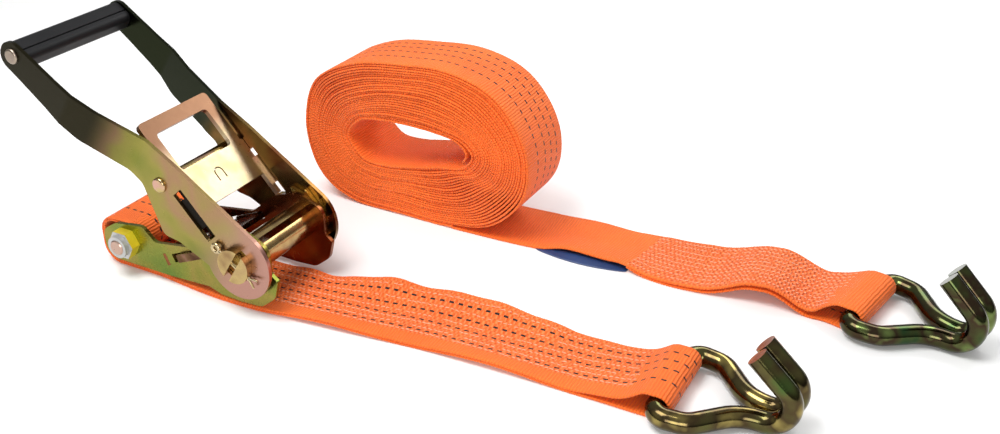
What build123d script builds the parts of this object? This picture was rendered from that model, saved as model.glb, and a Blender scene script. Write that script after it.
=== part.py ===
"""Ratchet tie down for 50 mm webbing: ratchet, two straps and two claw hooks.

X runs along the straps towards the hooks, Y along the ratchet's spindle, Z up.
The straps and hooks lie on z = 0. The ratchet lies on its own short strap, with
its handle part open. The parts are modelled with the spindle over x = 0, y = 0,
and every one is moved at the end, so that the origin is the bottom centre of
the whole set.
"""
from build123d import *
import math
import os

# ---- driving dimensions, mm ----
WEB_W = 50.0            # webbing width
SEWN_T = 3.2            # two sewn layers of webbing
LOOP_T = 1.7            # one layer of webbing
SPINDLE_Z = 35.0        # spindle axis above the floor
HANDLE_ANGLE = 34.2     # handle above the -X direction

# stack along the spindle, from the middle outwards
FRAME_IN, FRAME_OUT = 25.8, 28.3
WHEEL_IN, WHEEL_OUT = 28.5, 31.4
HANDLE_IN, HANDLE_OUT = 31.7, 34.2
GRIP_IN, GRIP_OUT = 42.0, 44.5
SHEET_T = 2.5           # frame and handle plates

SPINDLE_R = 11.0
SPINDLE_SLOT = 4.2
SPINDLE_END = 38.8
SLOT_ANGLE = 58.0       # direction of the webbing slot above +X
RUNNING = 0.05          # radial clearance of a running fit

TEETH = 12
WHEEL_TIP_R, WHEEL_ROOT_R = 22.0, 17.5
TOOTH_FACE_ANGLE = 140.0

PIN_R = 1.5
PIN_Y = 36.3

BOLT_X, BOLT_Z = -94.0, -13.0
BOLT_R, SLEEVE_R = 5.0, 8.0
HEX_AF = 17.0
HEAD_H, NUT_H, COLLAR_H, COLLAR_R = 6.5, 6.6, 3.2, 7.2
WASHER_T, WASHER_R = 1.6, 9.5

PAWL_T = 3.2
BASE_EAR_T, BASE_SLOT_T = 5.2, 5.8     # base pawl's ears and their slots in the frame
HANDLE_EAR_T, HANDLE_SLOT_T = 7.6, 8.2  # the same for the handle pawl
BASE_PAWL_ANGLE = 23.0          # base pawl slope, rising towards the wheel
BASE_PAWL_TIP = (-18.4, 1.2)    # middle of its tip, in XZ from the spindle
BASE_PAWL_LEN, BASE_PAWL_NECK = 35.0, 12.0
BASE_PAWL_TRAVEL = 6.0
CROSS_PLATE_AT, CROSS_PLATE_H = 47.0, 13.0

HANDLE_PAWL_ANGLE = 48.0        # handle pawl slope, falling towards the wheel
HANDLE_PAWL_OFFSET = -4.9       # its middle plane from the spindle axis
HANDLE_PAWL_REST = 3.2          # drawn out this far from full engagement
PAWL_SLOT_S = (-54.5, -20.5)      # its slot in the handle plates, along its plane

ROD_R, RIVET_R, RIVET_NECK_R, RIVET_H = 4.0, 4.8, 2.8, 1.8
CROSS_ROD_UV = (65.6, 2.5)      # along the handle, across it
GRIP_ROD_UV = (180.2, 5.6)
GRIP_UV, GRIP_SIZE, GRIP_ROUND = (179.3, 5.5), (16.0, 13.4), 4.2

HOOK_R = 5.9                    # claw hook bar
HOOK_HALF_W = 32.0              # bar centre to hook centre line, at the eye
HOOK_BAR_Z = 8.15
HOOK_TILT = 2.3
SHORT_HOOK_AT, SHORT_HOOK_YAW = (254.5, 14.5), 0.0
LONG_HOOK_AT, LONG_HOOK_YAW = (327.0, 145.0), -9.8

ROLL_Y = (116.0, 166.0)

LIFT = Pos(0, 0, SPINDLE_Z)


# ---- helpers ----
def plate(corners, low, high):
    """Flat plate from y=low to y=high. Corners are (x, z, radius) in order."""
    points = [(x, 0, z) for x, z, _ in corners]
    outline = FilletPolyline(*points, radius=[r for _, _, r in corners], close=True)
    return Pos(0, low, 0) * extrude(make_face(outline), amount=high - low, dir=(0, 1, 0))


def rod(x, z, radius, low, high):
    """Round bar along Y from y=low to y=high."""
    return Pos(x, (low + high) / 2, z) * Rot(90, 0, 0) * Cylinder(radius, high - low)


def hexagon(x, z, across_flats, low, high):
    """Hexagonal prism along Y."""
    face = RegularPolygon(across_flats / 2, 6, major_radius=False)
    return Pos(x, low, z) * Rot(-90, 0, 0) * extrude(face, amount=high - low)


def polar(radius, degrees):
    return radius * math.cos(math.radians(degrees)), radius * math.sin(math.radians(degrees))


def handle_point(u, v):
    """Place in XZ of a point u along the handle and v across it."""
    cos, sin = polar(1, HANDLE_ANGLE)
    return -u * cos + v * sin, u * sin + v * cos


def coil(radius, wire_r, length, turns):
    """Compression spring standing on the XY plane."""
    path = Helix(length / turns, length, radius)
    section = Plane(origin=path @ 0, z_dir=path % 0) * Circle(wire_r)
    return sweep(section, path=path, is_frenet=True)


def band(corners, thickness, half_width):
    """Strip of webbing: a path of (x, z, radius) corners, wide along Y."""
    points = [(x, z) for x, z, _ in corners]
    path = FilletPolyline(*points, radius=[r for _, _, r in corners[1:-1]])
    strip = extrude(trace(path, thickness), amount=half_width, both=True)
    return Rot(90, 0, 0) * strip


def slab(near, far, thickness):
    """Flat webbing on z=0 between two smooth edges, each a list of (x, y)."""
    outline = Spline(*near) + Line(near[-1], far[-1]) + Spline(*far) + Line(far[0], near[0])
    return extrude(make_face(outline), amount=thickness)


# ---- ratchet frame ----
FRAME_OUTLINE = [
    (-114, -29, 10), (-114.5, -10, 8), (-103, -2.5, 8), (-80, 1, 6), (-71, -8, 5),
    (-38, -3, 14), (-19, 13, 11), (0, 20, 14), (18.5, 12, 9), (19, -5, 2), (24, -9, 1.5),
    (21, -21, 8), (10, -30, 10), (-6, -31, 12), (-21, -30.5, 8), (-30, -27.5, 8), (-62, -29, 12),
]
PAWL_E = polar(1, BASE_PAWL_ANGLE)


def along_base_pawl(t, w=0.0):
    """Place in XZ of a point t behind the base pawl's tip and w above its middle."""
    return (BASE_PAWL_TIP[0] - t * PAWL_E[0] - w * PAWL_E[1],
            BASE_PAWL_TIP[1] - t * PAWL_E[1] + w * PAWL_E[0])


def pawl_slab(start, end, low_w, high_w, low, high):
    """Block in the base pawl's own directions, from t=start to t=end."""
    corners = [along_base_pawl(*tw) + (0,)
               for tw in ((start, low_w), (end, low_w), (end, high_w), (start, high_w))]
    return plate(corners, low, high)


def frame_plate():
    body = plate(FRAME_OUTLINE, FRAME_IN, FRAME_OUT)
    body -= rod(0, 0, SPINDLE_R + RUNNING, FRAME_IN - 1, FRAME_OUT + 1)
    body -= rod(BOLT_X, BOLT_Z, BOLT_R + RUNNING, FRAME_IN - 1, FRAME_OUT + 1)
    half = BASE_SLOT_T / 2
    body -= pawl_slab(BASE_PAWL_NECK - 0.4, BASE_PAWL_LEN + BASE_PAWL_TRAVEL + 0.8,
                      -half, half, FRAME_IN - 1, FRAME_OUT + 1)
    tab = CROSS_PLATE_H / 2 - 2.4
    body -= pawl_slab(CROSS_PLATE_AT - 0.1, CROSS_PLATE_AT + SHEET_T + 0.1,
                      -tab, tab, FRAME_IN - 1, FRAME_OUT + 1)
    return body


def cross_plate():
    inside = FRAME_IN - 0.05
    half = CROSS_PLATE_H / 2
    tab = half - 2.5
    body = pawl_slab(CROSS_PLATE_AT, CROSS_PLATE_AT + SHEET_T, -half, half, -inside, inside)
    body += pawl_slab(CROSS_PLATE_AT, CROSS_PLATE_AT + SHEET_T, -tab, tab, -FRAME_OUT, FRAME_OUT)
    return body


def base_pawl():
    half = PAWL_T / 2
    body = pawl_slab(BASE_PAWL_NECK, BASE_PAWL_LEN, -half, half, -WHEEL_OUT, WHEEL_OUT)
    tip = [along_base_pawl(*tw) + (0,)
           for tw in ((0, half), (2.2, -half), (BASE_PAWL_NECK + 1, -half), (BASE_PAWL_NECK + 1, half))]
    ear = BASE_EAR_T / 2
    for side in (-1, 1):
        body += plate(tip, *sorted((side * WHEEL_IN, side * WHEEL_OUT)))
        body += pawl_slab(BASE_PAWL_NECK + 3, BASE_PAWL_LEN, -ear, ear,
                          *sorted((side * (FRAME_IN - 1), side * WHEEL_OUT)))
    peg = Plane(origin=(along_base_pawl(BASE_PAWL_LEN)[0], 0, along_base_pawl(BASE_PAWL_LEN)[1]),
                z_dir=(-PAWL_E[0], 0, -PAWL_E[1])) * Pos(0, 0, 1.5) * Cylinder(1.5, 4)
    return body + peg


def base_pawl_spring():
    x, z = along_base_pawl(BASE_PAWL_LEN + 0.8)
    seat = Plane(origin=(x, 0, z), z_dir=(-PAWL_E[0], 0, -PAWL_E[1]))
    return seat * coil(3.0, 0.55, CROSS_PLATE_AT - BASE_PAWL_LEN - 1.6, 5)


def anchor_bolt():
    head_y = FRAME_OUT + WASHER_T
    tail_y = -(FRAME_OUT + NUT_H + COLLAR_H + 0.8)
    body = rod(BOLT_X, BOLT_Z, BOLT_R, tail_y, head_y + 1)
    body += hexagon(BOLT_X, BOLT_Z, HEX_AF, head_y, head_y + HEAD_H)
    ends = body.edges().filter_by(GeomType.CIRCLE).group_by(Axis.Y)[0]
    return chamfer(ends, 0.7)


def anchor_nut():
    body = hexagon(BOLT_X, BOLT_Z, HEX_AF, -FRAME_OUT - NUT_H, -FRAME_OUT)
    body += rod(BOLT_X, BOLT_Z, COLLAR_R, -FRAME_OUT - NUT_H - COLLAR_H, -FRAME_OUT - NUT_H)
    return body - rod(BOLT_X, BOLT_Z, BOLT_R + RUNNING, -50, -20)


def ring(outer, inner, low, high):
    """Washer or tube on the anchor bolt."""
    return rod(BOLT_X, BOLT_Z, outer, low, high) - rod(BOLT_X, BOLT_Z, inner, low - 1, high + 1)


# ---- spindle ----
def half_round(side, radius, gap, low, high):
    """Half of a round bar along Y, cut flat at the webbing slot. Side is -1 or 1."""
    block = Box(4 * radius, high - low + 2, 2 * radius)
    block = Pos(0, (low + high) / 2, side * (radius + gap / 2)) * block
    return rod(0, 0, radius, low, high) & (Rot(0, -SLOT_ANGLE, 0) * block)


def split_pin_line(y):
    """Plane across both shafts at y, its z direction across the webbing slot."""
    nx, nz = -math.sin(math.radians(SLOT_ANGLE)), math.cos(math.radians(SLOT_ANGLE))
    return Plane(origin=(0, y, 0), x_dir=(0, 1, 0), z_dir=(nx, 0, nz))


def spindle_half(side):
    body = half_round(side, SPINDLE_R, SPINDLE_SLOT, -SPINDLE_END, SPINDLE_END)
    for y in (-PIN_Y, PIN_Y):
        body -= split_pin_line(y) * Cylinder(PIN_R + 0.1, 40)
    return body


def ratchet_wheel():
    """Toothed wheel: steep faces turned one way, slopes the other."""
    points = []
    for tooth in range(TEETH):
        face = TOOTH_FACE_ANGLE + tooth * 360 / TEETH
        points += [polar(WHEEL_TIP_R, face), polar(WHEEL_ROOT_R, face)]
    corners = [(x, z, 0) for x, z in reversed(points)]
    body = plate(corners, WHEEL_IN, WHEEL_OUT)
    for side in (-1, 1):
        body -= half_round(side, SPINDLE_R + 0.03, SPINDLE_SLOT - 0.06, WHEEL_IN - 1, WHEEL_OUT + 1)
    return body


def split_pin(y):
    """Cotter with a round eye on one side and two spread legs on the other."""
    eye = 2.4
    body = Pos(0, 0, 0.5) * Cylinder(PIN_R, 25)
    body += Pos(0, 0, 13 + eye) * Rot(0, 90, 0) * Torus(eye, PIN_R * 0.8)
    for side in (-1, 1):
        body += Pos(0, side * 0.7, -12) * Rot(side * 28, 0, 0) * Pos(0, 0, -2.5) * Cylinder(0.7, 6)
    return split_pin_line(y) * body


# ---- handle ----
HANDLE_OUTLINE_UV = [
    (-2, 23.4, 0), (62, 22.5, 60), (86, 21, 30), (120, 15.2, 30), (148, 14, 30), (189.3, 13.8, 8.6),
    (189.3, -4.2, 8.6), (168, -5.4, 30), (147, -7.2, 30), (122, -11, 20), (89, -6.5, 12),
    (76, -7, 8), (48.5, -27, 6), (38, -22, 10), (14, -18.5, 0),
]
HUB_R = 23.4
BEND_U = (86.0, 136.0)          # where the handle plates bend outwards


def handle_plate():
    corners = [handle_point(u, v) + (r,) for u, v, r in HANDLE_OUTLINE_UV]
    outline = plate(corners, FRAME_IN, GRIP_OUT + 2) + rod(0, 0, HUB_R, FRAME_IN, GRIP_OUT + 2)
    inner, outer = (HANDLE_IN + HANDLE_OUT) / 2, (GRIP_IN + GRIP_OUT) / 2
    bends = FilletPolyline((-30, inner), (BEND_U[0], inner), (BEND_U[1], outer), (200, outer), radius=12)
    cos, sin = polar(1, HANDLE_ANGLE)
    strip = extrude(mirror(trace(bends, SHEET_T), about=Plane.XZ), amount=60, both=True)
    body = outline & (Plane(origin=(0, 0, 0), x_dir=(-cos, 0, sin), z_dir=(sin, 0, cos)) * strip)
    body -= rod(0, 0, SPINDLE_R + RUNNING, FRAME_IN, GRIP_OUT)
    for uv in (CROSS_ROD_UV, GRIP_ROD_UV):
        body -= rod(*handle_point(*uv), RIVET_NECK_R + 0.02, FRAME_IN, GRIP_OUT + 2)
    slot = flat_box(*PAWL_SLOT_S, -60, 60, -HANDLE_SLOT_T / 2,
                    HANDLE_SLOT_T / 2)
    return body - pawl_plane() * slot


def riveted_rod(uv, inner, outer):
    """Round rod between the handle plates, its necks riveted over outside them."""
    x, z = handle_point(*uv)
    body = rod(x, z, ROD_R, -inner, inner) + rod(x, z, RIVET_NECK_R, -outer, outer)
    for low, high in ((outer, outer + RIVET_H), (-outer - RIVET_H, -outer)):
        body += rod(x, z, RIVET_R, low, high)
    ends = body.edges().filter_by(GeomType.CIRCLE).group_by(Axis.Y)
    return fillet(ends[0] + ends[-1], RIVET_H * 0.7)


def grip_cover():
    cos, sin = polar(1, HANDLE_ANGLE)
    x, z = handle_point(*GRIP_UV)
    across = Plane(origin=(x, 0, z), x_dir=(-cos, 0, sin), z_dir=(0, 1, 0))
    face = across * RectangleRounded(*GRIP_SIZE, GRIP_ROUND)
    face -= across * Pos(-1.9, GRIP_SIZE[1] / 2) * Rectangle(1.0, 1.8)
    body = extrude(face, amount=GRIP_IN - 0.2, both=True)
    return body - rod(*handle_point(*GRIP_ROD_UV), ROD_R + RUNNING, -GRIP_IN, GRIP_IN)


# ---- handle pawl ----
def pawl_plane():
    """Middle plane of the handle pawl: x towards the wheel, y along the spindle."""
    dx, dz = polar(1, -HANDLE_PAWL_ANGLE)
    nx, nz = -dz, dx
    origin = (HANDLE_PAWL_OFFSET * nx, 0, HANDLE_PAWL_OFFSET * nz)
    return Plane(origin=origin, x_dir=(dx, 0, dz), z_dir=(nx, 0, nz))


PULL_BAR_S = (-96.5, -87.0)
PAWL_PLATE_S = (-60.0, -34.3)
ARM_IN, ARM_OUT = 22.0, 29.5
PAWL_TIP_S = -19.0
TONGUE_S = -43.0
SPRING_DROP = -9.6              # spring axis below the pawl's middle plane


def flat_box(s_low, s_high, y_low, y_high, n_low=-PAWL_T / 2, n_high=PAWL_T / 2):
    """Box in the pawl plane's own directions."""
    box = Box(s_high - s_low, y_high - y_low, n_high - n_low)
    return Pos((s_low + s_high) / 2, (y_low + y_high) / 2, (n_low + n_high) / 2) * box


def flat_patch(s_low, s_high, half_width, corner_r):
    """Rounded rectangle in the pawl's plane, centred across the spindle."""
    return Pos((s_low + s_high) / 2, 0) * RectangleRounded(s_high - s_low, 2 * half_width, corner_r)


def handle_pawl():
    """Stamped pull frame: pull bar, two arms, plate, ears and spring tongue."""
    face = flat_patch(PULL_BAR_S[0], PAWL_PLATE_S[0] + 8, ARM_OUT, 3)
    face += flat_patch(*PAWL_PLATE_S, WHEEL_OUT, 1.5)
    face -= flat_patch(PULL_BAR_S[1], PAWL_PLATE_S[0], ARM_IN, 3)
    mark = SlotOverall(13, 7) - SlotOverall(11.2, 5.2) - Pos(5, 0) * Rectangle(6, 8)
    face -= Pos(TONGUE_S - 3, 0) * mark
    body = extrude(face, amount=PAWL_T / 2, both=True)
    for side in (-1, 1):
        inner, outer = sorted((side * WHEEL_IN, side * WHEEL_OUT))
        body += flat_box(PAWL_PLATE_S[1] - 4, PAWL_TIP_S, inner, outer)
        inner, outer = sorted((side * (WHEEL_OUT - 1), side * (HANDLE_IN + 1.2)))
        body += flat_box(-46.0, -25.5, inner, outer, -HANDLE_EAR_T / 2, HANDLE_EAR_T / 2)
    body += flat_box(TONGUE_S, TONGUE_S + 1.6, -3.2, 3.2, SPRING_DROP - 4, 0)
    return pawl_plane() * Pos(-HANDLE_PAWL_REST, 0, 0) * body


def handle_pawl_spring():
    rod_x, rod_z = handle_point(*CROSS_ROD_UV)
    rod_s = pawl_plane().to_local_coords(Vector(rod_x, 0, rod_z)).X
    start = rod_s + ROD_R + 0.9
    length = TONGUE_S - HANDLE_PAWL_REST - 0.9 - start
    seat = pawl_plane() * Pos(start, 0, SPRING_DROP) * Rot(0, 90, 0)
    return seat * coil(2.9, 0.5, length, 5)


# ---- straps ----
def hook_loop():
    """Sewn loop of webbing round a hook's eye bar, whose axis is at x=0, z=0."""
    r = HOOK_R + 0.5 + LOOP_T / 2
    return band([(-34, -r, 0), (r, -r, r - 0.01), (r, r, r - 0.01), (-6, r, 8), (-33, -3.6, 0)],
                LOOP_T, WEB_W / 2 - 0.6)


def at_hook(place, yaw, shape):
    return Pos(place[0], place[1], HOOK_BAR_Z) * Rot(0, 0, yaw) * shape


def edges_of(centre_line):
    """The two edges of a strap, half its width each side of its middle."""
    half = WEB_W / 2
    return [(x, y - half) for x, y in centre_line], [(x, y + half) for x, y in centre_line]


SHORT_STRAP_LINE = [(-72, 0), (-25, -3.5), (22, -1.5), (63, 3), (105, 9), (150, 11.5), (200, 13.5),
                    (230, 14.5)]
BOLT_LOOP_R = SLEEVE_R + 0.45 + SEWN_T / 2


def short_strap():
    top = BOLT_Z + SPINDLE_Z + BOLT_LOOP_R
    low = BOLT_Z + SPINDLE_Z - BOLT_LOOP_R
    right = BOLT_X + BOLT_LOOP_R
    left, middle = BOLT_X - 25, SEWN_T / 2
    fold = band([(-71, middle, 0), (left, middle, 12), (left, top, 10), (right, top, BOLT_LOOP_R - 0.05),
                 (right, low, BOLT_LOOP_R - 0.05), (left + 3, low, 0)], SEWN_T, WEB_W / 2 - 0.2)
    body = slab(*edges_of(SHORT_STRAP_LINE), SEWN_T) + fold
    return body + at_hook(SHORT_HOOK_AT, SHORT_HOOK_YAW, hook_loop())


ROLL_OUTER = [(21, 113), (58, 114), (92, 101.5), (112.5, 70), (111.5, 35), (88, 8.5), (52, 0.7),
              (14, 0.9), (-24, 2.0), (-51, 17), (-61.5, 50), (-52, 87), (-20, 106)]
ROLL_HOLE = [(-24, 52), (-14, 65), (5, 68.3), (24, 68.5), (43, 68), (60, 66), (70, 57.5), (62, 47.5),
             (44, 45), (25, 41), (6, 36.8), (-12, 37.5)]
LONG_STRAP_LINE = [(60, 141), (100, 142.5), (133, 145.5), (175, 146), (215, 142.5), (255, 147), (302, 149)]


def closed_curve(points, low, high):
    """Solid along Y inside a smooth closed curve through (x, z) points."""
    curve = Spline(*[(x, 0, z) for x, z in points], periodic=True)
    return Pos(0, low, 0) * extrude(make_face(curve), amount=high - low, dir=(0, 1, 0))


def long_strap():
    low, high = ROLL_Y
    roll = closed_curve(ROLL_OUTER, low, high) - closed_curve(ROLL_HOLE, low - 1, high + 1)
    body = roll + slab(*edges_of(LONG_STRAP_LINE), SEWN_T)
    return body + at_hook(LONG_HOOK_AT, LONG_HOOK_YAW, hook_loop())


def strap_label():
    """Blank label that shows beside the long strap."""
    return Pos(150, 113, 0.5) * Box(58, 12, 0.6)


def claw_hook():
    """One round bar: eye bar in the middle, both ends bent up side by side."""
    bend_r, claw_half, claw_bend = 13.5, 6.6, 70.0
    reach = bend_r * math.tan(math.radians(claw_bend / 2))
    first = 51.5 + reach
    rise_x, rise_z = polar(2 * reach, claw_bend)
    tip_x, tip_z = polar(reach + 22, 2 * claw_bend)
    half = [(first + rise_x + tip_x, claw_half, rise_z + tip_z), (first + rise_x, claw_half, rise_z),
            (first, claw_half, 0), (40, claw_half + 0.6, 0), (19, HOOK_HALF_W - 2.5, 0),
            (0, HOOK_HALF_W, 0)]
    radii = [bend_r, bend_r, 26, 14, 7.5]
    other = [(x, -y, z) for x, y, z in reversed(half)]
    path = FilletPolyline(*half, *other, radius=radii + radii[::-1])
    section = Plane(origin=path @ 0, z_dir=path % 0) * Circle(HOOK_R)
    return Rot(0, HOOK_TILT, 0) * sweep(section, path=path)


# ---- the set ----
def mirrored(shape):
    return mirror(shape, about=Plane.XZ)


def build():
    """Every piece by node name, with the spindle over x = 0, y = 0."""
    ratchet = {
        "frame_plate_near": mirrored(frame_plate()),
        "frame_plate_far": frame_plate(),
        "frame_cross_plate": cross_plate(),
        "base_pawl": base_pawl(),
        "base_pawl_spring": base_pawl_spring(),
        "anchor_bolt": anchor_bolt(),
        "anchor_nut": anchor_nut(),
        "anchor_washer": ring(WASHER_R, BOLT_R + RUNNING, FRAME_OUT, FRAME_OUT + WASHER_T),
        "anchor_sleeve": ring(SLEEVE_R, BOLT_R + RUNNING, -FRAME_IN + 0.1, FRAME_IN - 0.1),
        "spindle_half_rear": spindle_half(1),
        "spindle_half_front": spindle_half(-1),
        "ratchet_wheel_near": mirrored(ratchet_wheel()),
        "ratchet_wheel_far": ratchet_wheel(),
        "split_pin_near": split_pin(-PIN_Y),
        "split_pin_far": split_pin(PIN_Y),
        "handle_plate_near": mirrored(handle_plate()),
        "handle_plate_far": handle_plate(),
        "handle_cross_rod": riveted_rod(CROSS_ROD_UV, HANDLE_IN, HANDLE_OUT),
        "grip_rod": riveted_rod(GRIP_ROD_UV, GRIP_IN, GRIP_OUT),
        "grip_cover": grip_cover(),
        "handle_pawl": handle_pawl(),
        "handle_pawl_spring": handle_pawl_spring(),
    }
    pieces = {name: LIFT * shape for name, shape in ratchet.items()}
    pieces["short_strap"] = short_strap()
    pieces["short_strap_hook"] = at_hook(SHORT_HOOK_AT, SHORT_HOOK_YAW, claw_hook())
    pieces["long_strap"] = long_strap()
    pieces["long_strap_hook"] = at_hook(LONG_HOOK_AT, LONG_HOOK_YAW, claw_hook())
    pieces["strap_label"] = strap_label()
    return pieces


pieces = build()
box = Compound(children=[Compound(children=shape.solids()) for shape in pieces.values()]).bounding_box()
origin = (box.center().X, box.center().Y, box.min.Z)
print("origin moved to", origin, "size", box.size)
os.makedirs("parts", exist_ok=True)
for name, shape in pieces.items():
    export_step(Pos(-origin[0], -origin[1], -origin[2]) * shape, f"parts/{name}.step")
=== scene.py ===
"""Looks for the ratchet tie down: woven webbing, plated steel and a plastic grip.

Lengths in this script are millimetres from the point on the floor under the
middle of the ratchet's spindle, which is read from the frame, and place() turns
them into the row frame's metres. Bump heights, noise scales and lamp sizes are
in metres.
"""
import math
import random
from collections import namedtuple

import bpy
from mathutils import Matrix, Vector


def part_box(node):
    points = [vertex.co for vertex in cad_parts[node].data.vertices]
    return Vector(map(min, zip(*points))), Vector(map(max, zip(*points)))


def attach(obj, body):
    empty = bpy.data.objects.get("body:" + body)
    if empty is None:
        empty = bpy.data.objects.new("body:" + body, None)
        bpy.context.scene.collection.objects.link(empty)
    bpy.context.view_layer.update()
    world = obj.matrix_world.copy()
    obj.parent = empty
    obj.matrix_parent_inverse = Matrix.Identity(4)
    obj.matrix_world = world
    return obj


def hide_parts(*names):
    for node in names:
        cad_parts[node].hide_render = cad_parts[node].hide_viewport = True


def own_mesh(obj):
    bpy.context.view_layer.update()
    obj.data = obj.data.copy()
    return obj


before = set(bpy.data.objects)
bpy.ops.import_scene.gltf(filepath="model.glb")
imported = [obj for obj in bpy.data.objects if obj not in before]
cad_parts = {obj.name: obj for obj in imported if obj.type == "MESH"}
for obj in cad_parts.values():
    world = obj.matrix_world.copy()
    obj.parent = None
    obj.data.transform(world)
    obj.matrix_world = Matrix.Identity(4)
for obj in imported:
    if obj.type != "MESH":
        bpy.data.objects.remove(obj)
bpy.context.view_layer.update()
random.seed(12)

MM = 0.001
Y_AXIS = Vector((0, 1, 0))


def middle(*nodes):
    """Middle of the box round some CAD nodes, in metres."""
    lows, highs = zip(*(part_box(node) for node in nodes))
    return Vector([(min(l[i] for l in lows) + max(h[i] for h in highs)) / 2 for i in range(3)])


SPINDLE = middle("ratchet_wheel_near", "ratchet_wheel_far")
FLOOR = Vector((SPINDLE.x, SPINDLE.y, 0))


def place(x, y, z):
    return FLOOR + Vector((x, y, z)) * MM


# ---- sizes, mm ----
WEB_W, WEB_T = 50.0, 1.45           # webbing width and one layer's thickness
RIB, WARP_YARN = 1.9, 1.05          # pitch of the weft ribs and of the warp yarns
SELVEDGE = 1.5                      # plain edge that the quilting leaves
SCALLOP = 2.9                       # two of the sewn edge's knots
TRACER_ROWS = (-10.5, 0.0, 8.5, 16.5)   # black tracer rows, across from the middle
TRACER_PITCH, TRACER_MARK = 5.9, 0.50   # along the webbing, and the marked share of it
TRACER_HALF = 0.62                  # half a tracer yarn's width
QUILT_ROW, QUILT_PITCH = 2.7, 3.0   # rows and pitch of the sewing's quilting
THREAD_R = 0.27                     # sewing thread
BAR_R, BAR_Z = 5.9, 8.15            # hook bar, and the height of the bar in the strap's loop
HANDLE_ANGLE = math.radians(34.2)
HANDLE_PAWL_ANGLE = math.radians(48.0)
BASE_PAWL_ANGLE = math.radians(23.0)


# ---- helpers for shapes ----
def smooth_piece(name, verts, faces, materials):
    """Smooth-shaded mesh object."""
    mesh = bpy.data.meshes.new(name)
    mesh.from_pydata([tuple(v) for v in verts], [], faces)
    for material in materials:
        mesh.materials.append(material)
    for polygon in mesh.polygons:
        polygon.use_smooth = True
    piece = bpy.data.objects.new(name, mesh)
    bpy.context.collection.objects.link(piece)
    return piece


def tube_faces(first, rings, around):
    """Faces of a closed tube of rings, whose first vertex has the number first."""
    faces = []
    last = first + (rings - 1) * around
    for start in range(first, last, around):
        for k in range(around):
            a, b = start + k, start + (k + 1) % around
            faces.append((a, b, b + around, a + around))
    return faces + [tuple(range(first, first + around))[::-1], tuple(range(last, last + around))]


def ease(value, low, high):
    """0 below low, 1 above high, smooth between."""
    t = min(1, max(0, (value - low) / (high - low)))
    return t * t * (3 - 2 * t)


def swell(value, rise, fall):
    """Eases up over the range rise, and down again over the range fall."""
    return ease(value, *rise) * (1 - ease(value, *fall))


# ---- shader helpers ----
class Shader:
    """A small wrapper that adds nodes to one material and links them."""

    def __init__(self, name):
        self.material = bpy.data.materials.new(name)
        self.material.use_nodes = True
        self.tree = self.material.node_tree
        self.surface = self.tree.nodes["Principled BSDF"]

    def node(self, kind, inputs=None, **settings):
        made = self.tree.nodes.new(kind)
        for key, value in settings.items():
            setattr(made, key, value)
        for key, value in (inputs or {}).items():
            if isinstance(value, bpy.types.NodeSocket):
                self.tree.links.new(value, made.inputs[key])
            else:
                made.inputs[key].default_value = value
        return made

    def math(self, operation, a, b=0.0, c=0.0):
        return self.node("ShaderNodeMath", {0: a, 1: b, 2: c}, operation=operation).outputs[0]

    def where(self):
        """Position in the object, which for every CAD node is the row frame."""
        return self.node("ShaderNodeTexCoord").outputs["Object"]

    def noise(self, scale, detail=3.0, roughness=0.55):
        return self.node("ShaderNodeTexNoise", {"Vector": self.where(), "Scale": scale, "Detail": detail,
                                                "Roughness": roughness}).outputs["Fac"]

    def along(self, direction, origin):
        """Distance in mm from origin along a direction."""
        start = self.node("ShaderNodeVectorMath", {0: self.where(), 1: origin}, operation="SUBTRACT")
        dot = self.node("ShaderNodeVectorMath", {0: start.outputs[0], 1: direction}, operation="DOT_PRODUCT")
        return self.math("MULTIPLY", dot.outputs["Value"], 1 / MM)

    def ramp(self, factor, stops):
        """Colour ramp of (position, colour) stops."""
        made = self.node("ShaderNodeValToRGB", {"Fac": factor})
        elements = made.color_ramp.elements
        while len(elements) < len(stops):
            elements.new(0.5)
        for element, (position, colour) in zip(elements, stops):
            element.position = position
            element.color = (*colour, 1)
        return made.outputs["Color"]

    def mix(self, factor, a, b):
        """Blend of two colours."""
        made = self.node("ShaderNodeMix", data_type="RGBA")
        for socket, value in ((0, factor), (6, a), (7, b)):
            if isinstance(value, bpy.types.NodeSocket):
                self.tree.links.new(value, made.inputs[socket])
            else:
                made.inputs[socket].default_value = (*value, 1) if socket else value
        return made.outputs[2]

    def bump(self, height, distance, strength, under=None):
        inputs = {"Height": height, "Distance": distance, "Strength": strength}
        if under is not None:
            inputs["Normal"] = under
        return self.node("ShaderNodeBump", inputs).outputs["Normal"]

    def set(self, **values):
        """Principled inputs by name, with _ for a space."""
        for key, value in values.items():
            socket = self.surface.inputs[key.replace("_", " ")]
            if isinstance(value, bpy.types.NodeSocket):
                self.tree.links.new(value, socket)
            elif isinstance(value, tuple):
                socket.default_value = (*value, 1)
            else:
                socket.default_value = value
        return self.material


def finish(nodes, material):
    """Gives some CAD nodes one material."""
    for node in nodes:
        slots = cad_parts[node].data.materials
        slots.clear()
        slots.append(material)


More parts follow.
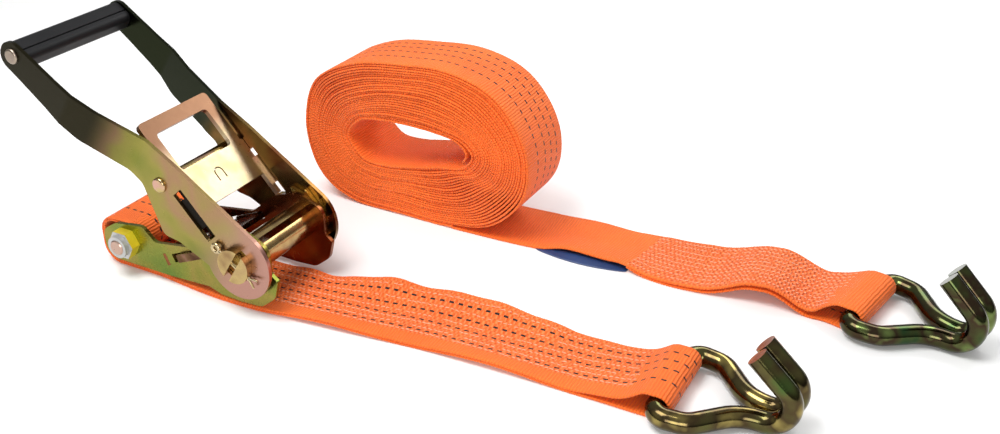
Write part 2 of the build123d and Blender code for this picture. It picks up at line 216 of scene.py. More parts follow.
# ---- plated steel ----
def plated(name, stops, roughness, patch, bands=(), metallic=1.0):
    """Yellow passivated zinc: a clear film whose tint drifts over the sheet.

    patch is the scale of the drift. A band is (direction, start, end, colour):
    the tint turns to that colour between start and end mm from the spindle; some bands are painted shade, not
    tint.
    """
    shader = Shader(name)
    colour = shader.ramp(shader.noise(patch, 2.5), stops)
    # bands blend in tint or painted shade, as the caller gives them
    for direction, start, end, tint in bands:
        reach = shader.node("ShaderNodeMapRange", {"Value": shader.along(direction, SPINDLE),
                                                   "From Min": start, "From Max": end},
                            interpolation_type="SMOOTHSTEP").outputs["Result"]
        uneven = shader.math("MULTIPLY_ADD", shader.noise(55.0, 2.0), 0.5, -0.25)
        border = shader.math("MULTIPLY", reach, shader.math("SUBTRACT", 1.0, reach))
        reach = shader.math("ADD", reach, shader.math("MULTIPLY", uneven, border))
        reach = shader.node("ShaderNodeClamp", {"Value": reach}).outputs[0]
        colour = shader.mix(reach, colour, tint)
    dark_speck = (0.020, 0.014, 0.006)
    colour = shader.mix(shader.math("MULTIPLY", shader.noise(900.0, 2.0), 0.14), colour, dark_speck)
    scuff = shader.noise(260.0, 4.0, 0.7)
    rough = shader.math("MULTIPLY_ADD", scuff, 0.16, roughness - 0.08)
    return shader.set(Base_Color=colour, Metallic=metallic, Roughness=rough,
                      Normal=shader.bump(scuff, 0.00003, 0.6))


GRIP_WAY = Vector((-math.cos(HANDLE_ANGLE), 0, math.sin(HANDLE_ANGLE)))
NEAR_WAY = -Y_AXIS
NUT_FACE = (SPINDLE.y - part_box("anchor_nut")[0][1]) / MM
NUT_RIM = (NUT_FACE - 3.4, NUT_FACE - 3.2)  # where the nut's yellow turns to steel, towards its face
PAWL_SLOT_SHADE = (30.2, 30.6)             # where the pawl's plate passes into its near ear, which is painted near black as shade inside the handle plate's slot

# Painted shade: the near handle plate turns near black from 84 to 120 mm towards its grip end, past its jog.
finish(["handle_plate_near"], plated(
    "handle_plating", [(0.30, (0.18, 0.20, 0.032)), (0.44, (0.30, 0.26, 0.062)),
                       (0.56, (0.36, 0.21, 0.11)), (0.70, (0.32, 0.27, 0.066))], 0.30, 20.0,
    [(GRIP_WAY, 84, 120, (0.022, 0.019, 0.009)), (-GRIP_WAY, -34, 10, (0.45, 0.24, 0.19))]))
# Painted shade and painted orange reflection of the webbing: the far handle plate, seen from its inner side,
# gets a darker, orange copy of the handle plating that turns near black towards its grip end.
finish(["handle_plate_far"], plated(
    "far_handle_plating_and_shade", [(0.35, (0.10, 0.035, 0.012)), (0.55, (0.16, 0.10, 0.03)),
                           (0.70, (0.36, 0.17, 0.05))], 0.22, 40.0,
    [(GRIP_WAY, 60, 96, (0.014, 0.018, 0.007))]))
finish(["frame_plate_near", "anchor_washer"], plated(
    "frame_plating", [(0.30, (0.14, 0.21, 0.035)), (0.46, (0.235, 0.245, 0.043)),
                      (0.58, (0.30, 0.24, 0.055)), (0.72, (0.21, 0.22, 0.035))], 0.28, 26.0))
# Painted shade and painted orange reflection of the webbing: the far frame plate and the cross plate, seen
# between the plates, get a darker, orange copy of the frame plating.
finish(["frame_plate_far", "frame_cross_plate"], plated(
    "far_frame_plating_and_shade", [(0.35, (0.14, 0.040, 0.015)), (0.55, (0.26, 0.085, 0.03)),
                          (0.70, (0.32, 0.17, 0.05))], 0.25, 40.0))
finish(["handle_cross_rod"], plated(
    "bar_plating", [(0.35, (0.20, 0.11, 0.05)), (0.50, (0.52, 0.40, 0.16)),
                    (0.66, (0.58, 0.34, 0.26))], 0.18, 60.0))
finish(["grip_rod"], plated(
    "rivet_plating", [(0.40, (0.34, 0.26, 0.22)), (0.66, (0.42, 0.36, 0.26))], 0.30, 90.0))
finish(["spindle_half_rear", "spindle_half_front"], plated(
    "shaft_plating", [(0.32, (0.26, 0.15, 0.07)), (0.52, (0.50, 0.36, 0.15)),
                      (0.68, (0.40, 0.26, 0.13))], 0.20, 50.0))
# The pawl's near ear is painted near black: painted shade inside the handle plate's slot.
finish(["handle_pawl"], plated(
    "pawl_plating_and_slot_shade", [(0.30, (0.42, 0.36, 0.17)), (0.50, (0.53, 0.42, 0.28)),
                     (0.66, (0.51, 0.32, 0.25)), (0.80, (0.30, 0.32, 0.125))], 0.30, 45.0,
    [(NEAR_WAY, *PAWL_SLOT_SHADE, (0.008, 0.006, 0.004)), (GRIP_WAY, 62, 84, (0.20, 0.105, 0.060))]))
finish(["base_pawl"], plated(
    "base_pawl_plating", [(0.35, (0.075, 0.030, 0.014)), (0.52, (0.16, 0.085, 0.035)),
                          (0.68, (0.30, 0.15, 0.11))], 0.26, 90.0))
finish(["ratchet_wheel_near", "ratchet_wheel_far"], plated(
    "wheel_plating", [(0.35, (0.28, 0.16, 0.05)), (0.50, (0.60, 0.46, 0.14)),
                      (0.66, (0.50, 0.28, 0.09))], 0.22, 70.0))
finish(["short_strap_hook"], plated(
    "hook_plating", [(0.30, (0.075, 0.125, 0.034)), (0.42, (0.105, 0.095, 0.034)),
                     (0.54, (0.075, 0.052, 0.025)), (0.64, (0.30, 0.235, 0.075)),
                     (0.76, (0.18, 0.085, 0.062))], 0.15, 45.0))
finish(["long_strap_hook"], plated(
    "far_hook_plating", [(0.30, (0.022, 0.068, 0.026)), (0.42, (0.065, 0.078, 0.028)),
                         (0.54, (0.052, 0.032, 0.020)), (0.66, (0.165, 0.225, 0.070)),
                         (0.76, (0.21, 0.085, 0.078))], 0.14, 50.0))
finish(["split_pin_near", "split_pin_far"], plated(
    "pin_plating", [(0.35, (0.50, 0.36, 0.14)), (0.65, (0.62, 0.54, 0.40))], 0.24, 60.0))
finish(["anchor_bolt"], plated(
    "bolt_plating", [(0.35, (0.52, 0.33, 0.27)), (0.65, (0.56, 0.42, 0.32))], 0.30, 60.0))
finish(["anchor_nut"], plated(
    "nut_plating", [(0.35, (0.90, 0.62, 0.02)), (0.65, (0.98, 0.80, 0.06))], 0.34, 60.0,
    [(NEAR_WAY, *NUT_RIM, (0.50, 0.50, 0.49))], metallic=0.55))
bright = plated("bright_zinc", [(0.35, (0.42, 0.42, 0.42)), (0.65, (0.60, 0.58, 0.54))], 0.24, 60.0)
finish(["anchor_sleeve"], bright)


def grip_plastic():
    """Black moulded plastic with a fine spark texture."""
    shader = Shader("grip_plastic")
    cloud = shader.noise(60.0)
    return shader.set(Base_Color=shader.mix(cloud, (0.004, 0.004, 0.005), (0.009, 0.009, 0.010)),
                      Roughness=shader.math("MULTIPLY_ADD", cloud, 0.15, 0.42), Specular_IOR_Level=0.22,
                      Normal=shader.bump(shader.noise(2600.0, 2.0), 0.00005, 0.5))


finish(["grip_cover"], grip_plastic())


# ---- webbing ----
def quilting(shader, across, length, wobbled, span, near_edge):
    """Puffs and dips, from 1 to -1, that sewing makes in part of the webbing."""
    row = shader.math("FLOOR", shader.math("DIVIDE", across, QUILT_ROW))
    shifted = shader.math("MULTIPLY", row, math.pi)
    quilt = shader.math("SINE", shader.math("MULTIPLY_ADD", wobbled, 2 * math.pi / QUILT_PITCH, shifted))
    for test, value, limit in (("GREATER_THAN", length, span[0]), ("LESS_THAN", length, span[1]),
                               ("GREATER_THAN", across, near_edge),
                               ("LESS_THAN", across, WEB_W / 2 - SELVEDGE)):
        quilt = shader.math("MULTIPLY", quilt, shader.math(test, value, limit))
    return quilt


def webbing_material(name, tracers, sewn=0.0, span=(0, 0), near_edge=-WEB_W / 2 + SELVEDGE):
    """Orange polyester webbing. UV x is mm across from the middle, UV y is mm along.

    Sewing quilts it by the amount sewn, between the two places along it that
    span gives, and farther across it than near_edge.
    """
    shader = Shader(name)
    uv = shader.node("ShaderNodeUVMap", uv_map="web").outputs["UV"]
    split = shader.node("ShaderNodeSeparateXYZ", {"Vector": uv})
    across, length = split.outputs["X"], split.outputs["Y"]
    wobbled = shader.math("MULTIPLY_ADD", shader.noise(220.0, 2.0), 0.9, length)
    rib = shader.math("SINE", shader.math("MULTIPLY", wobbled, 2 * math.pi / RIB))
    yarn = shader.math("SINE", shader.math("MULTIPLY", across, 2 * math.pi / WARP_YARN))
    fibre = shader.noise(1500.0, 2.0)
    colour = shader.ramp(shader.noise(30.0), [(0.25, (0.90, 0.135, 0.010)), (0.75, (1.0, 0.185, 0.018))])
    # Painted shade: the grooves between the weave's ribs are darkened.
    groove_shade = shader.math("MULTIPLY_ADD", rib, -0.5, 0.5)
    colour = shader.mix(shader.math("MULTIPLY", groove_shade, 0.36), colour, (0.60, 0.055, 0.004))
    colour = shader.mix(shader.math("MULTIPLY", fibre, 0.20), colour, (1.0, 0.27, 0.050))
    height = shader.math("ADD", rib, shader.math("MULTIPLY", shader.math("MULTIPLY", rib, yarn), 0.45))
    if sewn:
        quilt = shader.math("MULTIPLY", quilting(shader, across, length, wobbled, span, near_edge), sewn)
        # Painted highlight on the quilting's puffs and painted shade in its dips.
        puff_highlight = shader.math("MULTIPLY", shader.math("MAXIMUM", quilt, 0.0), 0.40)
        colour = shader.mix(puff_highlight, colour, (0.98, 0.36, 0.17))
        dip_shade = shader.math("MULTIPLY", shader.math("MINIMUM", quilt, 0.0), -0.45)
        colour = shader.mix(dip_shade, colour, (0.55, 0.045, 0.004))
        height = shader.math("MULTIPLY_ADD", quilt, 2.4, height)
    if tracers:
        for i, row in enumerate(TRACER_ROWS):
            side = shader.math("ABSOLUTE", shader.math("SUBTRACT", across, row))
            row_mark = shader.math("LESS_THAN", side, TRACER_HALF)
            shift = 0.5 * (i % 2) + 400
            phase = shader.math("FRACT", shader.math("MULTIPLY_ADD", length, 1 / TRACER_PITCH, shift))
            dash = shader.math("LESS_THAN", phase, TRACER_MARK)
            colour = shader.mix(shader.math("MULTIPLY", row_mark, dash), colour, (0.006, 0.005, 0.005))
    relief = shader.bump(height, 0.00028, 0.75)
    relief = shader.bump(fibre, 0.00010, 0.5, under=relief)
    return shader.set(Base_Color=colour, Roughness=0.62, Normal=relief, Sheen_Weight=0.08,
                      Sheen_Roughness=0.4, Specular_IOR_Level=0.35)


tracer_side = webbing_material("webbing_tracer_side", True)
plain_side = webbing_material("webbing_plain_side", False)
TOP, UNDER, EDGE = 0, 1, 2          # sides of the webbing, in the order of its materials
Station = namedtuple("Station", "middle across up length")


def web_profile(columns):
    """Cross-section of the webbing: a loop of (across, up, side) with rounded edges."""
    t = WEB_T / 2
    flat = WEB_W / 2 - t
    top = [(-flat + 2 * flat * i / columns, t, TOP) for i in range(columns + 1)]
    right = [(flat + t * math.cos(a), t * math.sin(a), EDGE) for a in (math.pi / 4, 0, -math.pi / 4)]
    under = [(-x, -t, UNDER) for x, _, _ in top]
    left = [(-x, -z, EDGE) for x, z, _ in right]
    return top + right + under + left


def webbing(name, stations, materials, columns, scallop, warp):
    """Closed strip of webbing through its stations, whose length is mm along it.

    warp(station's middle in mm, mm across) lifts a point by so many mm, and
    scallop(station's middle) is how far the sewn edge's knots swell.
    """
    profile = web_profile(columns)
    verts, uvs = [], []
    for station in stations:
        at = (station.middle - FLOOR) / MM
        knot = scallop(at) * math.sin(2 * math.pi * station.length / SCALLOP)
        for x, z, side in profile:
            out = math.copysign(knot if side == EDGE else 0.0, x)
            verts.append(station.middle + station.across * (x + out) * MM + station.up * z * MM
                         + Vector((0, 0, warp(at, x))) * MM)
            uvs.append((x, station.length))
    n = len(profile)
    faces, sides = [], []
    for first in range(0, len(verts) - n, n):
        for i in range(n):
            j = (i + 1) % n
            faces.append((first + i, first + n + i, first + n + j, first + j))
            sides.append(max(profile[i][2], profile[j][2]))
    faces += [tuple(range(n)), tuple(range(len(verts) - n, len(verts)))[::-1]]
    sides += [UNDER, UNDER]
    piece = smooth_piece(name, verts, faces, materials)
    layer = piece.data.uv_layers.new(name="web")
    for loop in piece.data.loops:
        layer.data[loop.index].uv = uvs[loop.vertex_index]
    for polygon, side in zip(piece.data.polygons, sides):
        polygon.material_index = side
        polygon.use_smooth = len(polygon.vertices) == 4
    return piece


def resample(points, step):
    """The same path, with its points step mm apart."""
    out, carry = [points[0]], 0.0
    for a, b in zip(points, points[1:]):
        length = (b - a).length
        while length and carry + length >= step:
            move = step - carry
            a = a + (b - a) * (move / length)
            length = (b - a).length
            out.append(a)
            carry = 0.0
        carry += length
    return out


def rounded(corners, step):
    """Path along straight runs joined by arcs. Corners are (x, z, radius)."""
    pts = [Vector((x, 0, z)) for x, z, _ in corners]
    path = [pts[0]]
    for i in range(1, len(pts) - 1):
        radius = corners[i][2]
        back, ahead = (pts[i - 1] - pts[i]).normalized(), (pts[i + 1] - pts[i]).normalized()
        half = back.angle(ahead) / 2
        reach = radius / math.tan(half)
        centre = pts[i] + (back + ahead).normalized() * (radius / math.sin(half))
        start, end = pts[i] + back * reach - centre, pts[i] + ahead * reach - centre
        turn = start.angle(end)
        axis = start.cross(end).normalized()
        count = max(3, int(turn * radius / step * 2))
        path += [centre + Matrix.Rotation(turn * k / count, 3, axis) @ start for k in range(count + 1)]
    path.append(pts[-1])
    return resample(path, step)


# ---- camera, floor and light ----
CAMERA_AT = (419.1, -481.7, 388.6)
CAMERA_TURN, CAMERA_DOWN = math.radians(28.6), math.radians(28.5)
CAMERA_LENS, CAMERA_SENSOR = 42.46, 36
LAMPS_AIM = (60, 40, 30)
FLOOR_REACH = 3.0                   # metres
WORLD_LEVELS = ((0.0, 0.10), (0.12, 0.22), (0.45, 0.75), (1.0, 1.0))    # by how far up it is
WORLD_STRENGTH = 0.62


def look():
    """Camera in front of the set and to its right, looking down at it."""
    turn, down = CAMERA_TURN, CAMERA_DOWN
    right = Vector((math.cos(turn), math.sin(turn), 0))
    forward = Vector((-math.sin(turn) * math.cos(down), math.cos(turn) * math.cos(down), -math.sin(down)))
    up = right.cross(forward)
    camera = bpy.data.objects.new("camera", bpy.data.cameras.new("camera"))
    camera.data.lens = CAMERA_LENS
    camera.data.sensor_width = CAMERA_SENSOR
    camera.matrix_world = Matrix((right, up, -forward)).transposed().to_4x4()
    camera.location = place(*CAMERA_AT)
    camera.data.clip_start = 0.01
    bpy.context.collection.objects.link(camera)
    bpy.context.scene.camera = camera


def softbox(name, at, size, power):
    """Rectangular lamp at a place in mm, with its size in metres."""
    lamp = bpy.data.lights.new(name, "AREA")
    lamp.shape = "RECTANGLE"
    lamp.size, lamp.size_y = size
    lamp.energy = power
    holder = bpy.data.objects.new(name, lamp)
    holder.location = place(*at)
    holder.rotation_euler = (place(*LAMPS_AIM) - holder.location).to_track_quat("-Z", "Y").to_euler()
    bpy.context.collection.objects.link(holder)


def pale_floor():
    shader = Shader("pale_floor")
    tone = shader.mix(shader.noise(3.0, 2.0), (0.90, 0.90, 0.90), (0.94, 0.94, 0.93))
    material = shader.set(Base_Color=tone, Roughness=0.9, Specular_IOR_Level=0.1)
    reach = FLOOR_REACH
    corners = [(-reach, -reach, 0), (reach, -reach, 0), (reach, reach, 0), (-reach, reach, 0)]
    floor = smooth_piece("floor", corners, [(0, 1, 2, 3)], [material])


def sky():
    """Studio surround that is brighter overhead than at the horizon."""
    world = bpy.data.worlds.new("studio")
    world.use_nodes = True
    bpy.context.scene.world = world
    nodes, links = world.node_tree.nodes, world.node_tree.links
    direction = nodes.new("ShaderNodeTexCoord")
    split = nodes.new("ShaderNodeSeparateXYZ")
    ramp = nodes.new("ShaderNodeValToRGB")
    links.new(direction.outputs["Generated"], split.inputs[0])
    links.new(split.outputs["Z"], ramp.inputs["Fac"])
    links.new(ramp.outputs["Color"], nodes["Background"].inputs["Color"])
    elements = ramp.color_ramp.elements
    while len(elements) < len(WORLD_LEVELS):
        elements.new(0.5)
    for element, (position, level) in zip(elements, WORLD_LEVELS):
        element.position = position
        element.color = (level, level, level, 1)
    nodes["Background"].inputs["Strength"].default_value = WORLD_STRENGTH


look()
pale_floor()
sky()
softbox("key_light", (-150, -250, 1000), (0.6, 0.5), 9)
softbox("fill_light", (500, -900, 420), (0.6, 0.4), 5)
softbox("back_light", (250, 800, 650), (0.8, 0.3), 4)
bpy.context.scene.view_settings.view_transform = "Standard"


# ---- straps ----
STEP, ROLL_STEP = 0.6, 2.7          # between stations along the laid webbing, and in the roll
LAYER = WEB_T + 0.12                # one layer on the next
LOW = WEB_T / 2 + 0.15              # middle of the layer on the floor
HIGH = LOW + LAYER                  # middle of the layer on that one
LOOP_R = BAR_R + 0.5 + WEB_T / 2    # middle of the webbing round a hook's bar
TIGHT = 0.05                        # keeps the two arcs of a half turn from overlapping
MISSED = 0.08                       # share of the stitches left out, as if worn away
STITCH_RISE, STITCH_SUNK = 0.16, 0.06
FACE_UP = 0.3                       # least rise of a station's up where the webbing faces up


def x_of(station):
    return (station.middle.x - FLOOR.x) / MM


def smooth_y(points, x):
    """Smooth y at x through (x, y) points, straight on past the ends."""
    if x <= points[0][0]:
        return points[0][1]
    (xa, ya), (xb, yb) = points[-2:]
    if x >= xb:
        return yb + (x - xb) * (yb - ya) / (xb - xa)
    i = max(k for k in range(len(points) - 1) if points[k][0] <= x)
    before, (x0, y0), (x1, y1) = points[max(i - 1, 0)], points[i], points[i + 1]
    after = points[min(i + 2, len(points) - 1)]
    t, span = (x - x0) / (x1 - x0), x1 - x0
    slope0 = (y1 - before[1]) / (x1 - before[0]) * span
    slope1 = (after[1] - y0) / (after[0] - x0) * span
    return ((2 * t ** 3 - 3 * t * t + 1) * y0 + (t ** 3 - 2 * t * t + t) * slope0
            + (3 * t * t - 2 * t ** 3) * y1 + (t ** 3 - t * t) * slope1)


def laid(path, line):
    """Gives a path in the XZ plane its y, and each of its points the across direction."""
    points, across = [], []
    for point in path:
        slope = smooth_y(line, point.x + 0.5) - smooth_y(line, point.x - 0.5)
        points.append(Vector((point.x, smooth_y(line, point.x), point.z)))
        across.append(Vector((-slope, 1, 0)).normalized())
    return points, across


def stations_of(points, across):
    """Webbing stations along a path in mm."""
    out, length = [], 0.0
    for i, point in enumerate(points):
        ahead = points[min(i + 1, len(points) - 1)] - points[max(i - 1, 0)]
        side = (across[i] - ahead * (across[i].dot(ahead) / ahead.length_squared)).normalized()
        if i:
            length += (point - points[i - 1]).length
        out.append(Station(place(*point), side, ahead.cross(side).normalized(), length))
    return out


def span_of(stations, low, high):
    """How far along the webbing its stations reach, between two values of x."""
    lengths = [s.length for s in stations if low <= x_of(s) <= high]
    return min(lengths), max(lengths)


def thread_material():
    """Pale polyester sewing thread, with a painted orange reflection from the webbing under it."""
    shader = Shader("sewing_thread")
    twist = shader.noise(700.0, 2.0)
    colour = shader.mix(twist, (0.85, 0.30, 0.14), (0.88, 0.50, 0.36))
    return shader.set(Base_Color=colour, Roughness=0.5, Sheen_Weight=0.2,
                      Normal=shader.bump(twist, 0.0001, 0.5))


thread = thread_material()


def stitch(station, side, slant, half, warp):
    """Points of one stitch: five rings of thread that arch out of the webbing and back."""
    verts = []
    ahead = station.across.cross(station.up)
    for t in (-1, -0.5, 0, 0.5, 1):
        high = WEB_T / 2 + STITCH_RISE * (1 - t * t) - STITCH_SUNK
        x = side + slant * half * t
        lift = Vector((0, 0, warp((station.middle - FLOOR) / MM, x)))
        centre = (station.middle + (station.across * x + ahead * half * t + station.up * high) * MM
                  + lift * MM)
        for k in range(5):
            angle = 2 * math.pi * k / 5
            spoke = station.across * math.cos(angle) + station.up * math.sin(angle)
            verts.append(centre + spoke * THREAD_R * MM)
    return verts


def stitches(name, stations, rows, pitch, reach, body, warp):
    """Pale sewing thread that stands on the webbing, in rows along it."""
    verts, faces = [], []
    marks = [s for s in stations if reach[0] <= x_of(s) <= reach[1]]
    for row in rows:
        spot = marks[0].length + random.random() * pitch
        for station in marks:
            if station.length < spot:
                continue
            spot += pitch * random.uniform(0.85, 1.15)
            if random.random() < MISSED:
                continue
            slant = random.uniform(-0.22, 0.22)
            side = row + random.uniform(-0.35, 0.35)
            half = pitch * random.uniform(0.30, 0.42)
            faces += tube_faces(len(verts), 5, 5)
            verts += stitch(station, side, slant, half, warp)
    piece = smooth_piece(name, verts, faces, [thread])
    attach(piece, body)
    return piece


# ---- short strap ----
SHORT_HOOK_X = 254.5
SHORT_LINE = [(-72, 0), (-25, -3.5), (22, -1.5), (63, 3), (105, 9), (150, 11.5), (200, 13.5),
              (SHORT_HOOK_X, 14.5)]
SHORT_SEWN = (-60, 236)             # where its sewing starts and ends
SHORT_ROWS, SHORT_PITCH = (-13.0, -7.5, -3.0, 4.3, 12.5, 20.0), 3.4
SHORT_QUILT, SHORT_QUILT_FROM = 0.75, -15.0
SHORT_FREE, SHORT_FREE_Z = (-60, 238), 12   # the run that is free to curl
SHORT_KNOT = 0.35
SHORT_CURL = 6.5                    # how far the far edge curls up
UPPER_Z = 15                        # the upper layer lies below this
SLEEVE_R, SLEEVE_GAP = 8.0, 0.45
REAR_REACH = 25                     # from the sleeve's axis back to the rear fold


def short_warp(at, across):
    """The short strap's far edge curls up, and both its edges ripple."""
    if at.z > SHORT_FREE_Z or at.x < SHORT_FREE[0] or at.x > SHORT_FREE[1]:
        return 0.0
    settle = swell(at.x, (-20, 30), (205, 238))
    far = ease(across, 2, 25) * swell(at.x, (22, 72), (150, 190))
    ripple = 0.9 * math.sin(at.x / 9.5 + 0.8) + 0.6 * math.sin(at.x / 5.3)
    near = ease(-across, 8, 25) * (1.4 + 1.4 * math.sin(at.x / 17.0 - 1.2))
    return settle * (SHORT_CURL * far + ease(across, 8, 25) * (ripple + 1.2) + near)


def short_strap():
    """One length folded double: round the sleeve, along, round the hook's bar and back."""
    sleeve = middle("anchor_sleeve")
    bx, bz = (sleeve.x - FLOOR.x) / MM, sleeve.z / MM
    r_in = SLEEVE_R + SLEEVE_GAP + WEB_T / 2
    r_out = r_in + LAYER
    left, hook_x = bx - REAR_REACH, SHORT_HOOK_X
    corners = [
        (left + 4, bz - r_in, 0), (bx + r_in, bz - r_in, r_in - TIGHT), (bx + r_in, bz + r_in, r_in - TIGHT),
        (left + LAYER, bz + r_in, 9), (left + LAYER, HIGH, 10), (205, HIGH, 80), (hook_x - 20, HIGH + 4, 30),
        (hook_x - 8, BAR_Z + LOOP_R, 9), (hook_x + LOOP_R, BAR_Z + LOOP_R, LOOP_R - TIGHT),
        (hook_x + LOOP_R, BAR_Z - LOOP_R, LOOP_R - TIGHT), (hook_x - 30, LOW, 60), (left, LOW, 12),
        (left, bz + r_out, 11), (bx + r_out, bz + r_out, r_out - TIGHT),
        (bx + r_out, bz - r_out, r_out - TIGHT), (left + 6, bz - r_out, 0)]
    points, across = laid(rounded(corners, STEP), SHORT_LINE)
    stations = stations_of(points, across)
    upper = [s for s in stations if s.up.z > FACE_UP and s.middle.z < UPPER_Z * MM]
    sewn_side = webbing_material("webbing_sewn_side", True, SHORT_QUILT, span_of(upper, *SHORT_SEWN),
                                 SHORT_QUILT_FROM)
    piece = webbing("short_webbing", stations, [sewn_side, plain_side, plain_side], 16,
                    lambda at: SHORT_KNOT, short_warp)
    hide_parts("short_strap")
    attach(piece, "short_strap")
    sewing = stitches("short_strap_stitching", upper, SHORT_ROWS, SHORT_PITCH, SHORT_SEWN,
                      "short_strap", short_warp)


short_strap()


# ---- long strap ----
ROLL_OUTER = [(21, 113), (58, 114), (92, 101.5), (112.5, 70), (111.5, 35), (88, 8.5), (52, 0.7),
              (14, 0.9), (-24, 2.0), (-51, 17), (-61.5, 50), (-52, 87), (-20, 106)]
ROLL_HOLE = [(-24, 52), (-14, 65), (5, 68.3), (24, 68.5), (43, 68), (60, 66), (70, 57.5), (62, 47.5),
             (44, 45), (25, 41), (6, 36.8), (-12, 37.5)]
ROLL_CENTRE = Vector((24, 54))
ROLL_Y = 141.0
TURNS = 25.85
DIRECTIONS = 720                    # steps in one turn
ROLL_TAB = 3.2                      # how far the inner end stands into the hole
ROLL_SWAY = 0.7
LEAVE_X = 58.0                      # where the outer turn reaches the floor and runs on as the tail
LONG_HOOK_X = 327.0
LONG_LINE = [(60, 141), (100, 142.5), (133, 145.5), (175, 146), (215, 142.5), (255, 147), (302, 149),
             (LONG_HOOK_X, 145), (340, 142.75)]
SEWN_FROM, SEWN_TO = 184.0, 312     # where the folded end under the tail starts, and its sewing ends
LONG_ROWS, LONG_PITCH = (-20, -15, -10.5, -6, -1.5, 3, 7.5, 12, 16.5, 21), 2.9
LONG_QUILT, LONG_QUILT_TO = 1.0, 308
TAIL_FREE, TAIL_FREE_Z = (110, 318), 14     # the run that is free to lift
TAIL_KNOT = 0.8
HUMP, LABEL_LIFT, FAR_LIFT = 9.5, 4.0, 3.0


def radius_table(points):
    """Distance from the roll's middle to a smooth closed curve, for each direction."""
    n, fine = len(points), 60
    curve = []
    for i in range(n):
        a, b, c, d = (Vector(points[(i + k) % n]) for k in (-1, 0, 1, 2))
        for j in range(fine):
            t = j / fine
            curve.append(0.5 * ((2 * b) + (c - a) * t + (2 * a - 5 * b + 4 * c - d) * t * t
                                + (3 * b - a - 3 * c + d) * t ** 3) - ROLL_CENTRE)
    found = sorted((math.atan2(p.y, p.x) % (2 * math.pi), p.length) for p in curve)
    found = [(found[-1][0] - 2 * math.pi, found[-1][1])] + found + [(found[0][0] + 2 * math.pi, found[0][1])]
    table, k = [], 0
    for step in range(DIRECTIONS):
        angle = step * 2 * math.pi / DIRECTIONS
        while found[k + 1][0] < angle:
            k += 1
        (a0, r0), (a1, r1) = found[k], found[k + 1]
        table.append(r0 + (r1 - r0) * (angle - a0) / max(a1 - a0, 1e-9))
    return table


def roll_path():
    """The wound webbing in XZ, from the inner end to where the tail leaves."""
    outer, hole = radius_table(ROLL_OUTER), radius_table(ROLL_HOLE)
    leave = math.atan2(-ROLL_CENTRE.y, LEAVE_X - ROLL_CENTRE.x) % (2 * math.pi)
    steps = round(TURNS * DIRECTIONS)
    path = []
    for i in range(0, steps + 1, 2):
        angle = leave - (steps - i) * 2 * math.pi / DIRECTIONS
        t = i / steps
        k = round(angle * DIRECTIONS / (2 * math.pi)) % DIRECTIONS
        inside, outside = hole[k] + WEB_T / 2, outer[k] - WEB_T / 2
        sway = ROLL_SWAY * math.sin(3 * angle + 6 * t) * math.sin(math.pi * t)
        tab = ROLL_TAB * (1 - ease(i, 0, DIRECTIONS / 8))
        radius = inside + (outside - inside) * t + sway - tab
        path.append(Vector((ROLL_CENTRE.x + radius * math.cos(angle), 0,
                            ROLL_CENTRE.y + radius * math.sin(angle))))
    return resample(path, ROLL_STEP)


def long_warp(at, across):
    """The tail humps up before its hook, and its near edge lifts over the label."""
    if at.z > TAIL_FREE_Z or at.x < TAIL_FREE[0] or at.x > TAIL_FREE[1]:
        return 0.0
    hump = HUMP * swell(at.x, (228, 262), (268, 300))
    label = LABEL_LIFT * ease(-across, -5, 25) * swell(at.x, (112, 140), (172, 200))
    far = FAR_LIFT * ease(across, 0, 25) * swell(at.x, (180, 215), (225, 250))
    return hump + label + far + 0.35 * math.sin(at.x / 7.0) * ease(abs(across), 15, 25)


def tail_knots(at):
    """The doubled part of the tail has knotted edges."""
    return TAIL_KNOT * swell(at.x, (SEWN_FROM, SEWN_FROM + 8), (SEWN_TO - 12, SEWN_TO))


def long_strap():
    """One length: wound up, then along the floor, round the hook's bar and back under."""
    points, drift = [], 0.0
    for p in roll_path():
        points.append(Vector((p.x, ROLL_Y, p.z)) + Vector((0, drift, 0)))
        drift = drift * 0.985 + random.uniform(-0.12, 0.12)
    across = [Y_AXIS] * len(points)
    hook_x = LONG_HOOK_X
    corners = [(points[-1].x + 2, LOW, 0), (SEWN_FROM - 14, LOW, 80), (SEWN_FROM + 6, HIGH, 80),
               (hook_x - 26, HIGH + 2.5, 30), (hook_x - 8, BAR_Z + LOOP_R, 9),
               (hook_x + LOOP_R, BAR_Z + LOOP_R, LOOP_R - TIGHT),
               (hook_x + LOOP_R, BAR_Z - LOOP_R, LOOP_R - TIGHT), (hook_x - 30, LOW, 60), (SEWN_FROM, LOW, 0)]
    tail, sides = laid(rounded(corners, STEP), LONG_LINE)
    stations = stations_of(points + tail, across + sides)
    top = [s for s in stations if s.up.z > FACE_UP and s.length > stations[len(points)].length]
    quilted = webbing_material("webbing_quilted_tail", False, LONG_QUILT,
                               span_of(top, SEWN_FROM, LONG_QUILT_TO))
    piece = webbing("long_webbing", stations, [quilted, tracer_side, plain_side], 8, tail_knots, long_warp)
    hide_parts("long_strap")
    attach(piece, "long_strap")
    sewing = stitches("long_strap_stitching", top, LONG_ROWS, LONG_PITCH, (SEWN_FROM, SEWN_TO),
                      "long_strap", long_warp)


long_strap()


# ---- label ----
LABEL_FROM, LABEL_TO = 118.0, 182.0
LABEL_T = 0.3
LABEL_TUCK, LABEL_BOW = 9, 6.5      # how far it goes in under the tail, and bows out past it
LABEL_Z, LABEL_PUFF = 0.45, 1.6


def label_tape():
    shader = Shader("label_tape")
    weave = shader.noise(1200.0, 2.0)
    colour = shader.mix(shader.noise(60.0, 2.0), (0.008, 0.026, 0.095), (0.020, 0.060, 0.19))
    return shader.set(Base_Color=colour, Roughness=0.45, Normal=shader.bump(weave, 0.0001, 0.4))


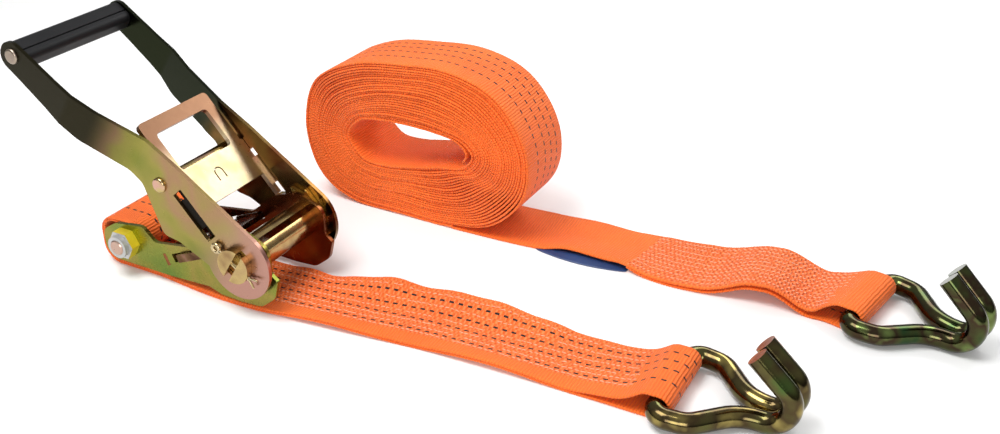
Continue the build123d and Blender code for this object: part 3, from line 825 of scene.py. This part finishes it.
def strap_label():
    """Blank blue tape sewn under the tail's near edge, which bows out past it."""
    rows, columns = 32, 10
    verts, faces = [], []
    for side in (1, -1):
        for i in range(rows + 1):
            x = LABEL_FROM + (LABEL_TO - LABEL_FROM) * i / rows
            bow = math.sin(math.pi * i / rows) ** 0.7
            edge = smooth_y(LONG_LINE, x) - WEB_W / 2
            for j in range(columns + 1):
                s = j / columns
                y = edge + LABEL_TUCK - s * (LABEL_TUCK + LABEL_BOW * bow)
                z = LABEL_Z + LABEL_PUFF * bow * math.sin(math.pi * s) ** 2 + side * LABEL_T / 2
                verts.append(place(x, y, z))
    n, m = (rows + 1) * (columns + 1), columns + 1
    for i in range(rows):
        for j in range(columns):
            a = i * m + j
            faces.append((a, a + 1, a + m + 1, a + m))
            faces.append((n + a, n + a + m, n + a + m + 1, n + a + 1))
    rim = list(range(m)) + [i * m + columns for i in range(1, rows + 1)]
    rim += [rows * m + j for j in range(columns - 1, -1, -1)] + [i * m for i in range(rows - 1, 0, -1)]
    for a, b in zip(rim, rim[1:] + rim[:1]):
        faces.append((b, a, n + a, n + b))
    piece = smooth_piece("blank_label", verts, faces, [label_tape()])
    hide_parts("strap_label")
    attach(piece, "long_strap")


strap_label()


# ---- springs ----
SPRING_TURNS, SPRING_SMOOTH = 5, 28     # coils, and rings of points in each


def coil_spring(name, node, direction, length, radius, wire, body):
    """Compression spring of round wire, whose pitch varies a little along it.

    The slide joint shortens it towards its start, to keep times its length at the limit.
    """
    out = direction.cross(Y_AXIS).normalized()
    start = middle(node) - direction * length / 2 * MM
    verts = []
    count, around = SPRING_TURNS * SPRING_SMOOTH, 8
    for i in range(count + 1):
        t = i / count
        angle = 2 * math.pi * SPRING_TURNS * t
        rise = length * (t + 0.06 * math.sin(4 * math.pi * t)) * 0.94 + 0.03 * length
        spoke = out * math.cos(angle) + Y_AXIS * math.sin(angle)
        centre = start + (direction * rise + spoke * radius) * MM
        for k in range(around):
            a = 2 * math.pi * k / around
            verts.append(centre + (spoke * math.cos(a) + direction * math.sin(a)) * wire * MM)
    piece = smooth_piece(name, verts, tube_faces(0, count + 1, around), [bright])
    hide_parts(node)
    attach(piece, body)
    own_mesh(piece)


pawl_way = Vector((math.cos(BASE_PAWL_ANGLE), 0, math.sin(BASE_PAWL_ANGLE)))
frame_way = Vector((math.cos(HANDLE_PAWL_ANGLE), 0, -math.sin(HANDLE_PAWL_ANGLE)))
coil_spring("base_pawl_coil", "base_pawl_spring", pawl_way, 10.4, 3.0, 0.55,
            "frame")
coil_spring("handle_pawl_coil", "handle_pawl_spring", frame_way, 9.0, 2.9, 0.5,
            "handle")
